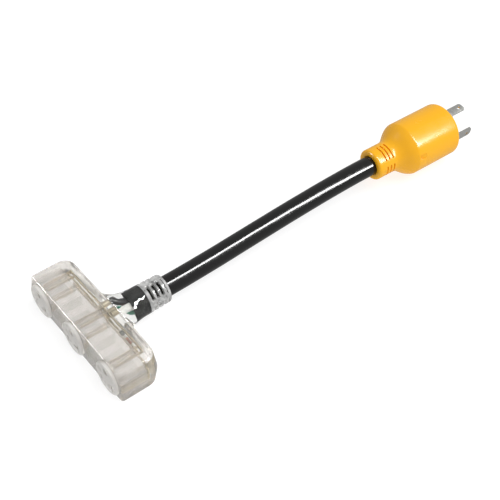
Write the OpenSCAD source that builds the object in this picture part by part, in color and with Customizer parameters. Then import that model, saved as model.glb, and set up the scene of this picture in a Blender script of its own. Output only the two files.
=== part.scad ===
/* [Outlet block] */
// Length of the clear block, end to end
block_l = 116.5; // [105:0.5:140]
// Depth of the block, from its front face to its back face
block_w = 33; // [30:0.5:44]
// Height of the block
block_h = 28; // [27:0.5:36]
// Thickness of the clear plastic over the contact carrier
skin = 3.2; // [2:0.1:4]
// Draft: how far each end leans in from mid height to the top
block_draft = 2.4; // [0:0.1:3]
// Radius along the long edges
edge_r = 2.5; // [1:0.5:5]
// Radius of the back corners seen from above
back_corner_r = 10; // [5:1:12]
// Radius of the front corners seen from above
front_corner_r = 2.5; // [1:0.5:6]
// Depth of the contact carrier, from front to back
carrier_w = 18; // [15:0.5:19]

/* [Outlets] */
// Distance between neighbouring outlets
outlet_pitch = 42; // [36:1:48]
// Diameter of the round face of an outlet
face_d = 25.4; // [25:0.2:28]
// How far an outlet face stands out of the block
face_proud = 1.4; // [0.6:0.1:3]
// Thickness of an outlet face
face_t = 4; // [3.5:0.1:6]
// Distance between the two blade slots
slot_pitch = 12.7; // [12.5:0.1:13]
// Distance from the ground hole to the line of the blade slots
ground_drop = 11.9; // [11.5:0.1:12.2]
// Diameter of the ground pin hole
ground_hole_d = 5.2; // [4.9:0.1:5.6]

/* [Neck and strain relief of the block] */
// Length of the flared neck
neck_l = 23; // [22:1:34]
// Length of the ribbed strain relief behind the neck
relief_l = 18; // [14:1:28]
// Diameter of the relief where it leaves the neck
relief_d = 22.4; // [19:0.2:26]
// Diameter of the relief at its free end
relief_tip_d = 20.2; // [18:0.2:24]

/* [Cord] */
// Diameter of the cord jacket
cord_d = 15.5; // [13:0.5:16]
// Wall of the jacket
jacket_wall = 2.1; // [1.5:0.1:2.4]
// Diameter of one insulated conductor
wire_d = 4.6; // [3.6:0.1:4.7]
// Diameter of the copper strands of one conductor
strand_d = 3; // [2:0.1:3.2]

/* [Plug] */
// Diameter of the plug body
plug_d = 43; // [38:0.5:52]
// Length of the plug body without its blades
plug_l = 76.8; // [74:0.2:96]
// Length of the ribbed collar at the cord end
collar_l = 18.2; // [16:0.2:24]
// Diameter of the collar
collar_d = 25; // [22:0.5:28]
// Length of the cone between collar and body
cone_l = 15; // [12:1:20]
// Diameter of the blade carrier set into the front of the plug
plug_core_d = 35; // [33.5:0.5:36]

/* [Blades] */
// How far the blades stand out of the plug
blade_l = 18.2; // [14:0.2:22]
// Diameter across the outer faces of the blades
blade_circle_d = 30; // [28:0.2:31]
// Thickness of a blade
blade_t = 1.6; // [1.2:0.1:2]
// Width of the ground blade
ground_width = 7.6; // [6.6:0.1:9]
// Width of the hot blade
hot_width = 8; // [7:0.1:9.5]
// Width of the neutral blade
neutral_width = 9.4; // [8:0.1:10.5]
// How far the hook at the root of the ground blade reaches
hook_reach = 5; // [3:0.1:6]
// Angle of the ground blade round the plug: 90 is straight up
ground_angle = 96; // [70:1:119]
// Angle from the ground blade to the neutral blade
neutral_step = 96; // [90:1:125]

/* [Fits] */
// Clearance between a moulded part and what it is moulded round
bond_gap = 0.1; // [0.05:0.05:0.2]
// Clearance round a contact or a blade in its slot
slot_gap = 0.3; // [0.2:0.05:0.5]
// Thickness of the carrier's walls
carrier_wall = 1.2; // [1:0.1:1.5]
// Thickness of the brass contact strips
strip_t = 0.9; // [0.6:0.1:1.2]

/* [Hidden] */
$fn = 64;
eps = 0.01;

// Middle line of the cord, from its end inside the neck to its end inside the plug.
// It stays straight in both mouldings, and lifts from the block's height to the plug's.
route = [
    [-137, 0, 14], [-122, 0, 14], [-107, 0, 14], [-95, 0, 14.1], [-83, 0.1, 14.3],
    [-71, 0.2, 14.6], [-59, 0.3, 15], [-47, 0.4, 15.6], [-35, 0.5, 16.2],
    [-23, 0.5, 16.9], [-11, 0.5, 17.6], [1, 0.5, 18.3], [13, 0.4, 19], [25, 0.3, 19.6],
    [37, 0.2, 20.2], [49, 0, 20.7], [62, -0.2, 21.1], [75, -0.5, 21.4], [87.8, -0.9, 21.5],
    [97.8, -1.2, 21.5], [107.8, -1.5, 21.5]
];
block_exit = 2;   // the route's point at the end of the block's relief
plug_entry = 18;  // the route's point at the tail of the plug
last = len(route) - 1;

function unit(v) = v / norm(v);
function heading(i) = unit(route[min(i + 1, last)] - route[max(i - 1, 0)]);
function across(dir) = unit(cross([0, 0, 1], dir));
function above(dir) = cross(dir, across(dir));

// Places of the two ends, which follow from where the cord leaves them
back_x = route[block_exit][0] - relief_l - neck_l;
front_x = back_x - block_w;
axis_z = route[block_exit][2];
plug_dir = unit(route[last] - route[plug_entry]);
plug_yaw = atan2(plug_dir[1], plug_dir[0]);
jacket_start = route[0][0] - front_x;
jacket_in_plug = norm(route[last] - route[plug_entry]);

// Contact carrier and its cover, seen from the block's front face
skin_front = face_t - face_proud + bond_gap;
cavity_y = block_l / 2 - skin - block_draft;
cavity_z = block_h / 2 - skin;
cover_t = 1.6;
carrier_front_t = 1.8;
divider_t = 1.4;
divider_short = 0.6;   // the dividers end this far before the cover
shelf_t = 1;
shelf_w = 20;
shelf_below = 1.6;     // from the ground hole down to the shelf
shelf_web_t = 1.2;
carrier_x0 = skin_front + bond_gap;
carrier_x1 = carrier_x0 + carrier_w;
cover_x0 = carrier_x1 + bond_gap;
cover_x1 = cover_x0 + cover_t;
carrier_y = cavity_y - bond_gap;
carrier_z = cavity_z - bond_gap;
carrier_corner_r = 2.5;
inside_x0 = carrier_x0 + carrier_front_t;

// Outlet pattern: the ground hole is above the two blade slots, as high as the carrier's
// roof lets the ground contact stand
ground_leaf_h = 4;
outlet_y = [outlet_pitch, 0, -outlet_pitch];
slot_z = min(-4.6, carrier_z - carrier_wall - 2 * bond_gap - ground_leaf_h / 2 - ground_drop);
ground_z = slot_z + ground_drop;
slot_w = 2;
hot_slot_h = 6.8;
neutral_slot_h = 8.2;
cross_slot_l = 5;

// Contacts: two leaves each, on strips at two depths and three heights
leaf_t = 0.6;
leaf_h = 5;
leaf_spread = 1;
ground_spread = 2.4;
neutral_x = cover_x1 + 0.9;
strip_back_x = neutral_x + strip_t + 1.8;
strip_room = 0.6;
strip_zone_x = strip_back_x + strip_t + strip_room;
strip_overrun = 2.4;
hot_strip_z = [slot_z - 1.6, slot_z + 2];
neutral_strip_z = [slot_z + leaf_h / 2 + 0.8, slot_z + leaf_h / 2 + 4];
ground_strip_z = [ground_z - 1.7, ground_z + 1.9];
tab_w = 4;
strip_reach = outlet_pitch + strip_overrun;

// Crimp barrels in the neck: [across, up] from the block's axis
barrel_l = 5.5;
barrel_r = strand_d / 2 + 1.2;
barrel_x = strip_zone_x + 0.6;
hot_barrel = [7, 2.5];
neutral_barrel = [-4.5, slot_z + 9.2];
ground_barrel = [0.5, -1];
neck_chamber_r = 10.9;
neck_chamber_l = 9.6;
strip_zone_y = strip_reach + slot_pitch / 2 + strip_room;

// Pilot lamp and its resistor, in line between the ground and neutral strips
lamp_y = -21.5;
lamp_z = (neutral_strip_z[1] + ground_strip_z[0]) / 2;
lamp_d = 3;
lamp_l = 4.4;
resistor_d = 2.4;
resistor_l = 6.4;
lamp_to_resistor = 3.4;
resistor_y = lamp_y - lamp_l / 2 - lamp_to_resistor - resistor_l / 2;
resistor_waist = 0.25;
resistor_cap_l = 1.8;
lead_r = 0.25;  // a lead along the strips
post_r = 0.3;   // a lead soldered down to a strip

// Conductors in the jacket: angle of each round the cord
lay_r = wire_d / sqrt(3) + 0.02;
hot_lay = 15;
neutral_lay = 135;
ground_lay = 255;
cord_sides = 12;
wire_sides = 8;

// Relief and collar ribs
rib_count = 4;
web_angle = 22;
relief_turn = 75;
collar_turn = 64;
window_w = 2.6;
groove_w = 1.3;
groove_depth = 1.3;
groove_pitch = 3.4;
groove_from = 7.4;
groove_count = 3;
collar_bead_r = 2.2;
cone_swell = 0.5;

// Plug insides
plug_rim_r = 3.2;
core_l = 17;
blade_in_plug = 13;   // how far a blade goes on behind its carrier
mouth_r = cord_d / 2 + 0.7;
mouth_l = 2.5;
blade_root_x = plug_l - core_l - blade_in_plug;
plug_barrel_l = 7;
plug_barrel_at = blade_circle_d / 2 - 3.6;
neutral_angle = ground_angle + neutral_step;
hot_angle = neutral_angle + (360 - neutral_step) / 2;
blade_tip_r = 2;
blade_hole_d = 3;
blade_hole_from_tip = 4.2;
hook_l = 4.4;
hook_angle = 235;

module at_block() { translate([front_x, 0, axis_z]) children(); }
module at_plug() { translate(route[plug_entry]) rotate([0, 0, plug_yaw]) children(); }
module spin_x() { rotate([0, 90, 0]) rotate([0, 0, 90]) children(); }
module rod_x(r, l) { rotate([0, 90, 0]) cylinder(r = r, h = l); }
module rod_y(r, l) { rotate([90, 0, 0]) cylinder(r = r, h = l, center = true); }
module span(x, y, z) {
    translate([x[0], y[0], z[0]]) cube([x[1] - x[0], y[1] - y[0], z[1] - z[0]]);
}
module round_rect(x, y, r_low, r_high) {
    // rectangle from x[0] to x[1] and between -y and y, with its own radius at each x end
    translate([x[0] + r_low, -y]) square([x[1] - x[0] - r_low - r_high, 2 * y]);
    translate([x[0], -y + r_low]) square([r_low + eps, 2 * (y - r_low)]);
    translate([x[1] - r_high - eps, -y + r_high]) square([r_high + eps, 2 * (y - r_high)]);
    for (side = [-1, 1]) {
        translate([x[0] + r_low, side * (y - r_low)]) circle(r_low);
        translate([x[1] - r_high, side * (y - r_high)]) circle(r_high);
    }
}

// A drafted section: widest at mid height, with rounded corners above and below
function section_corner(w, h, lean, r, turn) = [
    for (i = [0 : 6]) let (a = turn > 0 ? 15 * i : 90 - 15 * i)
        [w - lean - r + r * cos(a), h - r + r * sin(a)]
];
function flip(points, x, y) = [for (p = points) [x * p[0], y * p[1]]];
function section(w, h, lean, r) = concat(
    [[w, 0]], section_corner(w, h, lean, r, 1),
    flip(section_corner(w, h, lean, r, -1), -1, 1),
    [[-w, 0]], flip(section_corner(w, h, lean, r, 1), -1, -1),
    flip(section_corner(w, h, lean, r, -1), 1, -1)
);

module block_body() {
    intersection() {
        translate([0, 0, -block_h / 2]) linear_extrude(block_h)
            round_rect([0, block_w], block_l / 2, front_corner_r, back_corner_r);
        translate([-1, 0, 0]) spin_x() linear_extrude(block_w + 2)
            polygon(section(block_l / 2, block_h / 2, block_draft, edge_r));
        translate([block_w / 2, block_l / 2 + 1, 0]) rotate([90, 0, 0]) linear_extrude(block_l + 2)
            polygon(section(block_w / 2, block_h / 2, block_draft / 2, edge_r));
    }
}

// The neck opens slowly from the relief, then sharply where it meets the block
neck_open = 4.4;
neck_root = 7.5;
function neck_r(t) = relief_d / 2 + neck_open * t * t + neck_root * pow(t, 8);
module neck_body() {
    intersection() {
        translate([block_w, 0, 0]) spin_x() rotate_extrude() polygon(concat(
            [[0, -edge_r], [neck_r(1), -edge_r]],
            [for (i = [10 : -1 : 0]) [neck_r(i / 10), (1 - i / 10) * neck_l]],
            [[0, neck_l]]
        ));
        translate([block_w - edge_r, -block_l / 2, -block_h / 2 + edge_r / 2])
            cube([neck_l + edge_r, block_l, block_h - edge_r]);
    }
}

// One ring-shaped slot, cut between the lengthwise webs
module ring_slots(w, r_in, r_out, turn) {
    for (i = [0 : rib_count - 1])
        rotate([0, 0, turn + i * 360 / rib_count + web_angle / 2])
            rotate_extrude(angle = 360 / rib_count - web_angle)
                translate([r_in, 0]) square([r_out - r_in, w]);
}
relief_pitch = relief_l / (rib_count + 0.4);
module relief_body() {
    translate([block_w + neck_l, 0, 0]) spin_x() difference() {
        rotate_extrude() polygon([
            [0, -eps], [relief_d / 2, -eps], [relief_tip_d / 2 + 0.6, relief_l - 2],
            [relief_tip_d / 2, relief_l - 0.6], [relief_tip_d / 2 - 0.6, relief_l], [0, relief_l]
        ]);
        for (i = [0 : rib_count - 2])
            translate([0, 0, (i + 0.6) * relief_pitch])
                ring_slots(window_w, cord_d / 2, relief_d, relief_turn);
        for (i = [0 : 1])
            translate([0, 0, (rib_count - 1 + 0.6) * relief_pitch])
                ring_slots(window_w / 2, cord_d / 2 + 0.6, relief_d, relief_turn);
    }
}

module clear_housing() {
    color([0.86, 0.87, 0.83, 0.45]) at_block() difference() {
        union() {
            block_body();
            neck_body();
            relief_body();
        }
        translate([0, 0, -cavity_z]) linear_extrude(2 * cavity_z)
            round_rect([skin_front, cover_x1 + bond_gap], cavity_y, 1, carrier_corner_r + bond_gap);
        for (y = outlet_y) translate([-1, y, 0]) rod_x(face_d / 2 + bond_gap, skin_front + 1 + eps);
        span([cover_x1, strip_zone_x], [-strip_zone_y, strip_zone_y],
             [slot_z - leaf_h / 2 - strip_room, ground_strip_z[1] + strip_room]);
        translate([strip_zone_x - eps, 0, 0]) rod_x(neck_chamber_r, neck_chamber_l + 2 * eps);
        translate([strip_zone_x + neck_chamber_l, 0, 0]) rotate([0, 90, 0])
            cylinder(r1 = neck_chamber_r, r2 = cord_d / 2,
                     h = jacket_start - strip_zone_x - neck_chamber_l);
        translate([jacket_start - eps, 0, 0]) rod_x(cord_d / 2, block_w + neck_l + relief_l);
    }
}

// Slots of one outlet, through anything from x0 to x1
module outlet_slots(x0, x1, gap) {
    l = x1 - x0;
    translate([x0, 0, ground_z]) rod_x(ground_hole_d / 2 + gap, l);
    span([x0, x1], [slot_pitch / 2 - slot_w / 2 - gap, slot_pitch / 2 + slot_w / 2 + gap],
         [slot_z - hot_slot_h / 2 - gap, slot_z + hot_slot_h / 2 + gap]);
    span([x0, x1], [-slot_pitch / 2 - slot_w / 2 - gap, -slot_pitch / 2 + slot_w / 2 + gap],
         [slot_z - neutral_slot_h / 2 - gap, slot_z + neutral_slot_h / 2 + gap]);
    span([x0, x1], [-slot_pitch / 2 - gap, -slot_pitch / 2 + cross_slot_l + gap],
         [slot_z - slot_w / 2 - gap, slot_z + slot_w / 2 + gap]);
}

module carrier_blank(x0, x1) {
    translate([0, 0, -carrier_z]) linear_extrude(2 * carrier_z) intersection() {
        round_rect([carrier_x0, cover_x1], carrier_y, 1, carrier_corner_r);
        translate([x0, -block_l]) square([x1 - x0, 2 * block_l]);
    }
}
module contact_carrier() {
    divider_x = carrier_x1 - divider_short;
    floor_z = carrier_z - carrier_wall;
    color([0.84, 0.80, 0.78]) at_block() {
        difference() {
            carrier_blank(carrier_x0, carrier_x1);
            translate([0, 0, -floor_z]) linear_extrude(2 * floor_z)
                round_rect([inside_x0, carrier_x1 + carrier_corner_r], carrier_y - carrier_wall, 1, 1);
            for (y = outlet_y) translate([0, y, 0]) outlet_slots(0, inside_x0 + 1, 0);
        }
        for (side = [-1, 1])
            span([inside_x0 - eps, divider_x],
                 [side * outlet_pitch / 2 - divider_t / 2, side * outlet_pitch / 2 + divider_t / 2],
                 [-floor_z - eps, floor_z + eps]);
        for (y = outlet_y) {
            shelf_z = ground_z - ground_hole_d / 2 - shelf_below - shelf_t;
            span([inside_x0 - eps, divider_x - 2], [y - shelf_w / 2, y + shelf_w / 2],
                 [shelf_z, shelf_z + shelf_t]);
            span([inside_x0 - eps, divider_x - 2], [y + 0.5 - shelf_web_t / 2, y + 0.5 + shelf_web_t / 2],
                 [-floor_z - eps, shelf_z + eps]);
        }
    }
}

// Passage in the cover for the two leaves of one contact
module leaf_hole(y, z, h, spread) {
    reach = spread + leaf_t + slot_gap;
    span([cover_x0 - 1, cover_x1 + 1], [y - reach, y + reach],
         [z - h / 2 - slot_gap, z + h / 2 + slot_gap]);
}
module carrier_cover() {
    color([0.80, 0.77, 0.74]) at_block() difference() {
        carrier_blank(cover_x0, cover_x1);
        for (y = outlet_y) {
            leaf_hole(y, ground_z, ground_leaf_h, ground_spread);
            leaf_hole(y + slot_pitch / 2, slot_z, leaf_h, leaf_spread);
            leaf_hole(y - slot_pitch / 2, slot_z, leaf_h, leaf_spread);
        }
    }
}

module outlet_face(y) {
    face_edge_r = 0.8;
    color([0.90, 0.86, 0.82]) at_block() translate([0, y, 0]) difference() {
        translate([-face_proud, 0, 0]) spin_x() rotate_extrude() polygon([
            [0, 0], [face_d / 2 - face_edge_r, 0], [face_d / 2 - 0.3 * face_edge_r, 0.3 * face_edge_r],
            [face_d / 2, face_edge_r], [face_d / 2, face_t], [0, face_t]
        ]);
        outlet_slots(-face_proud - 1, face_t, 0);
    }
}
module outlet_face_left() { outlet_face(outlet_y[0]); }
module outlet_face_middle() { outlet_face(outlet_y[1]); }
module outlet_face_right() { outlet_face(outlet_y[2]); }

// Two spring leaves and the plate that joins them, behind one slot
module contact(y, z, h, spread, plate_x, plate_z) {
    for (side = [-1, 1])
        span([inside_x0 + slot_gap, plate_x + eps],
             side > 0 ? [y + spread, y + spread + leaf_t] : [y - spread - leaf_t, y - spread],
             [z - h / 2, z + h / 2]);
    span([plate_x, plate_x + strip_t], [y - spread - leaf_t, y + spread + leaf_t],
         [min(z - h / 2, plate_z[0]), max(z + h / 2, plate_z[1])]);
}
// A strip with three contacts, a tab through the cover and a crimp barrel on its end
module contact_strip(offset_y, z, h, spread, plate_x, plate_z, barrel) {
    tab_bottom = barrel[1] - strip_t / 2;
    for (y = outlet_y) contact(y + offset_y, z, h, spread, plate_x, plate_z);
    span([plate_x, plate_x + strip_t], [offset_y - strip_reach, offset_y + strip_reach], plate_z);
    span([plate_x, plate_x + strip_t], [barrel[0] - tab_w / 2, barrel[0] + tab_w / 2],
         [min(tab_bottom, plate_z[0]), max(tab_bottom + strip_t, plate_z[1])]);
    span([plate_x, barrel_x + 1], [barrel[0] - tab_w / 2, barrel[0] + tab_w / 2],
         [tab_bottom, tab_bottom + strip_t]);
    translate([barrel_x, barrel[0], barrel[1]]) difference() {
        rod_x(barrel_r, barrel_l);
        translate([1, 0, 0]) rod_x(strand_d / 2 + bond_gap, barrel_l);
    }
}
module ground_strip() {
    color([0.72, 0.66, 0.42]) at_block() contact_strip(0, ground_z, ground_leaf_h, ground_spread,
        strip_back_x, ground_strip_z, ground_barrel);
}
module hot_strip() {
    color([0.76, 0.62, 0.32]) at_block() contact_strip(slot_pitch / 2, slot_z, leaf_h, leaf_spread,
        strip_back_x, hot_strip_z, hot_barrel);
}
module neutral_strip() {
    color([0.74, 0.70, 0.58]) at_block() contact_strip(-slot_pitch / 2, slot_z, leaf_h, leaf_spread,
        neutral_x, neutral_strip_z, neutral_barrel);
}

lamp_x = (neutral_x + strip_back_x + strip_t) / 2;
module indicator_lamp() {
    color([0.80, 0.92, 0.80]) at_block() translate([lamp_x, lamp_y, lamp_z]) {
        rod_y(lamp_d / 2, lamp_l - lamp_d / 2);
        translate([0, -(lamp_l - lamp_d / 2) / 2, 0]) sphere(lamp_d / 2);
    }
}
module lamp_resistor() {
    color([0.55, 0.28, 0.16]) at_block() translate([lamp_x, resistor_y, lamp_z]) {
        rod_y(resistor_d / 2 - resistor_waist, resistor_l);
        for (side = [-1, 1]) translate([0, side * (resistor_l - resistor_cap_l) / 2, 0])
            rod_y(resistor_d / 2, resistor_cap_l);
    }
}
module lamp_leads() {
    lamp_low = lamp_y - lamp_l / 2 - lamp_d / 4;
    resistor_high = resistor_y + resistor_l / 2;
    drop_y = resistor_y - resistor_l / 2 - 1.5;
    rise_y = lamp_y + lamp_l / 2 + 1;
    color([0.7, 0.7, 0.7]) at_block() {
        translate([lamp_x, (lamp_low + resistor_high) / 2, lamp_z])
            rod_y(lead_r, lamp_low - resistor_high - 2 * bond_gap);
        translate([lamp_x, drop_y + 0.7, lamp_z]) rod_y(lead_r, 1.4);
        translate([lamp_x, drop_y, neutral_strip_z[1] + slot_gap])
            cylinder(r = post_r, h = lamp_z - neutral_strip_z[1]);
        translate([lamp_x, rise_y - 0.2, lamp_z]) rod_y(lead_r, 1.2);
        translate([lamp_x, rise_y, lamp_z - post_r])
            cylinder(r = post_r, h = ground_strip_z[0] - lamp_z - slot_gap + post_r);
    }
}

// A tube swept along points; bore 0 makes a solid rod
function sweep_ring(p, dir, r, sides) = [
    for (k = [0 : sides - 1]) let (a = 360 * (k + 0.5) / sides)
        p + r * (cos(a) * across(dir) + sin(a) * above(dir))
];
function path_dir(path, i) =
    unit(path[min(i + 1, len(path) - 1)] - path[max(i - 1, 0)]);
module sweep(path, r, bore, sides) {
    n = len(path);
    outer = [for (i = [0 : n - 1]) each sweep_ring(path[i], path_dir(path, i), r, sides)];
    inner = bore > 0
        ? [for (i = [0 : n - 1]) each sweep_ring(path[i], path_dir(path, i), bore, sides)] : [];
    m = n * sides;
    skin_faces = [for (i = [0 : n - 2], k = [0 : sides - 1]) let (j = (k + 1) % sides)
        [i * sides + k, (i + 1) * sides + k, (i + 1) * sides + j, i * sides + j]];
    bore_faces = [for (i = [0 : n - 2], k = [0 : sides - 1]) let (j = (k + 1) % sides)
        [m + i * sides + j, m + (i + 1) * sides + j, m + (i + 1) * sides + k, m + i * sides + k]];
    end_rings = [for (k = [0 : sides - 1]) let (j = (k + 1) % sides)
        each [[k, j, m + j, m + k],
              [m - sides + k, 2 * m - sides + k, 2 * m - sides + j, m - sides + j]]];
    end_discs = [[for (k = [0 : sides - 1]) k], [for (k = [sides - 1 : -1 : 0]) m - sides + k]];
    polyhedron(concat(outer, inner),
               bore > 0 ? concat(skin_faces, bore_faces, end_rings) : concat(skin_faces, end_discs));
}

module cord_jacket() {
    color([0.07, 0.07, 0.07]) sweep(route, cord_d / 2, cord_d / 2 - jacket_wall, cord_sides);
}

// A conductor lies beside the cord's middle line, and fans out to its crimps at both ends.
// In the plug the hot and neutral conductors part first, and the ground one rises between them.
lay_step = 3;
bend_from_jacket = 8;
hot_bend = [6, -3.3];
neutral_bend = [-7.2, 0.5];
ground_bend = [-0.7, -2.6];
function lay_point(i, lay) = route[i]
    + lay_r * (cos(lay) * across(heading(i)) + sin(lay) * above(heading(i)));
function in_plug(p) = route[plug_entry]
    + p[0] * plug_dir + p[1] * across(plug_dir) + p[2] * [0, 0, 1];
function in_block(x, at) = [front_x + x, at[0], axis_z + at[1]];
function barrel_place(angle) = [cos(angle) * plug_barrel_at, sin(angle) * plug_barrel_at];
function wire_path(lay, barrel, bend, angle, bare) = let (b = barrel_place(angle)) concat(
    bare ? [in_block(barrel_x + 1.2, barrel)] : [],
    [in_block(barrel_x + barrel_l + 0.5, barrel), in_block(barrel_x + barrel_l + 2, barrel)],
    [for (i = [0 : lay_step : last - 1]) lay_point(i, lay)],
    [lay_point(last, lay), in_plug([jacket_in_plug + bend_from_jacket, bend[0], bend[1]])],
    [in_plug([blade_root_x - plug_barrel_l - 3.5, b[0], b[1]])],
    [in_plug([blade_root_x - plug_barrel_l - 0.5, b[0], b[1]])],
    bare ? [in_plug([blade_root_x - 1, b[0], b[1]])] : []
);
module insulation(lay, barrel, bend, angle) {
    sweep(wire_path(lay, barrel, bend, angle, false), wire_d / 2, strand_d / 2 + 2 * bond_gap, wire_sides);
}
module strands(lay, barrel, bend, angle) {
    sweep(wire_path(lay, barrel, bend, angle, true), strand_d / 2, 0, wire_sides);
}
module hot_insulation() {
    color([0.1, 0.1, 0.1]) insulation(hot_lay, hot_barrel, hot_bend, hot_angle);
}
module neutral_insulation() {
    color([0.92, 0.92, 0.90]) insulation(neutral_lay, neutral_barrel, neutral_bend, neutral_angle);
}
module ground_insulation() {
    color([0.16, 0.50, 0.34]) insulation(ground_lay, ground_barrel, ground_bend, ground_angle);
}
module hot_strands() {
    color([0.80, 0.48, 0.30]) strands(hot_lay, hot_barrel, hot_bend, hot_angle);
}
module neutral_strands() {
    color([0.80, 0.48, 0.30]) strands(neutral_lay, neutral_barrel, neutral_bend, neutral_angle);
}
module ground_strands() {
    color([0.80, 0.48, 0.30]) strands(ground_lay, ground_barrel, ground_bend, ground_angle);
}

// Outline of the plug from tail to face, as [radius, distance from the tail]
body_x = collar_l + cone_l;
function cone_r(t) = collar_d / 2 + (plug_d - collar_d) / 2 * t + cone_swell * sin(360 * (t - 0.5));
plug_outline = concat(
    [[mouth_r, 0]],
    [for (a = [90 : -15 : 0])
        [collar_d / 2 - collar_bead_r + collar_bead_r * cos(a), collar_bead_r - collar_bead_r * sin(a)]],
    [for (i = [0 : 8]) [cone_r(i / 8), collar_l + cone_l * i / 8]],
    [for (a = [0 : 15 : 90])
        [plug_d / 2 - plug_rim_r + plug_rim_r * cos(a), plug_l - plug_rim_r + plug_rim_r * sin(a)]]
);
core_x = plug_l - core_l;
core_r = plug_core_d / 2;
chamber_r = blade_circle_d / 2 + 1.2;
chamber_x = blade_root_x - plug_barrel_l - 3;
plug_insides = [
    [0, plug_l + 1], [core_r + bond_gap, plug_l + 1], [core_r + bond_gap, core_x - bond_gap],
    [chamber_r, core_x - bond_gap], [chamber_r, chamber_x + 6], [cord_d / 2 + 0.6, jacket_in_plug],
    [cord_d / 2, jacket_in_plug], [cord_d / 2, mouth_l], [mouth_r, mouth_l], [mouth_r, -1], [0, -1]
];
module plug_shell() {
    color([0.99, 0.74, 0.18]) at_plug() spin_x() difference() {
        rotate_extrude() polygon(concat([[0, 0]], plug_outline, [[0, plug_l]]));
        rotate_extrude() polygon(plug_insides);
        for (i = [0 : groove_count - 1])
            translate([0, 0, groove_from + i * groove_pitch])
                ring_slots(groove_w, collar_d / 2 - groove_depth, collar_d, collar_turn);
    }
}

// A sector of a tube round the plug's axis, from x0 to x1
module arc_bar(r_in, r_out, width, angle, x0, x1) {
    sweep_angle = width / (r_out * PI / 180);
    translate([x0, 0, 0]) spin_x() rotate([0, 0, angle - sweep_angle / 2])
        rotate_extrude(angle = sweep_angle) translate([r_in, 0]) square([r_out - r_in, x1 - x0]);
}
blade_r = blade_circle_d / 2;
module blade_bar(width, angle, gap, x0, x1) {
    arc_bar(blade_r - blade_t - gap, blade_r + gap, width + 2 * gap, angle, x0, x1);
}
// The hook is a short foot that turns off one edge of the ground blade at its root
module hook_bar(gap, x0, x1) {
    mid_r = blade_r - blade_t / 2;
    edge_angle = ground_angle + (ground_width - blade_t) / (blade_r * PI / 180) / 2;
    translate([0, mid_r * cos(edge_angle), mid_r * sin(edge_angle)]) rotate([hook_angle, 0, 0])
        span([x0, x1], [-gap, hook_reach + gap], [-blade_t / 2 - gap, blade_t / 2 + gap]);
}
module blade_carrier() {
    color([0.93, 0.66, 0.14]) at_plug() difference() {
        translate([core_x, 0, 0]) rod_x(core_r, core_l);
        blade_bar(ground_width, ground_angle, bond_gap, core_x - 1, plug_l + 1);
        hook_bar(bond_gap, core_x - 1, plug_l + 1);
        blade_bar(hot_width, hot_angle, bond_gap, core_x - 1, plug_l + 1);
        blade_bar(neutral_width, neutral_angle, bond_gap, core_x - 1, plug_l + 1);
    }
}
// Outline of a blade seen along its radius, with rounded tip corners
function tip_corner(x, h, turn) = [
    for (i = [0 : 6]) let (a = turn > 0 ? 15 * i : 90 - 15 * i)
        [x - blade_tip_r + blade_tip_r * cos(a), turn * (h - blade_tip_r + blade_tip_r * sin(a))]
];
module blade_shape(width, angle) {
    b = barrel_place(angle);
    tip_x = plug_l + blade_l;
    side = width / 2 + 0.1;
    difference() {
        intersection() {
            blade_bar(width, angle, 0, blade_root_x - 2, tip_x + 1);
            rotate([angle - 90, 0, 0]) linear_extrude(blade_r + 1) polygon(concat(
                tip_corner(tip_x, side, 1), [[blade_root_x - 3, side], [blade_root_x - 3, -side]],
                tip_corner(tip_x, side, -1)
            ));
        }
        rotate([angle, 0, 0]) translate([tip_x - blade_hole_from_tip, blade_r, 0])
            rotate([90, 0, 0]) cylinder(d = blade_hole_d, h = 3 * blade_t, center = true);
    }
    translate([blade_root_x - plug_barrel_l, b[0], b[1]]) difference() {
        rod_x(barrel_r, plug_barrel_l + 1);
        translate([-1, 0, 0]) rod_x(strand_d / 2 + bond_gap, plug_barrel_l + 1);
    }
}
module ground_blade() {
    color([0.75, 0.75, 0.73]) at_plug() {
        blade_shape(ground_width, ground_angle);
        hook_bar(0, core_x + 1, plug_l + hook_l);
    }
}
module hot_blade() { color([0.75, 0.75, 0.73]) at_plug() blade_shape(hot_width, hot_angle); }
module neutral_blade() {
    color([0.75, 0.75, 0.73]) at_plug() blade_shape(neutral_width, neutral_angle);
}

clear_housing();
contact_carrier();
carrier_cover();
outlet_face_left();
outlet_face_middle();
outlet_face_right();
ground_strip();
hot_strip();
neutral_strip();
indicator_lamp();
lamp_resistor();
lamp_leads();
cord_jacket();
hot_insulation();
neutral_insulation();
ground_insulation();
hot_strands();
neutral_strands();
ground_strands();
plug_shell();
blade_carrier();
ground_blade();
hot_blade();
neutral_blade();
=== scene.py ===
# %% [markdown]
# # A short power adapter: locking plug, thick cord, clear outlet block
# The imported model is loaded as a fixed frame. Every piece made here sits in that frame, in
# metres, and rides on its one body, because nothing on this adapter turns or slides.

# %% Load the frame
import math

import bmesh
import bpy
from mathutils import Matrix, Vector


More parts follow.
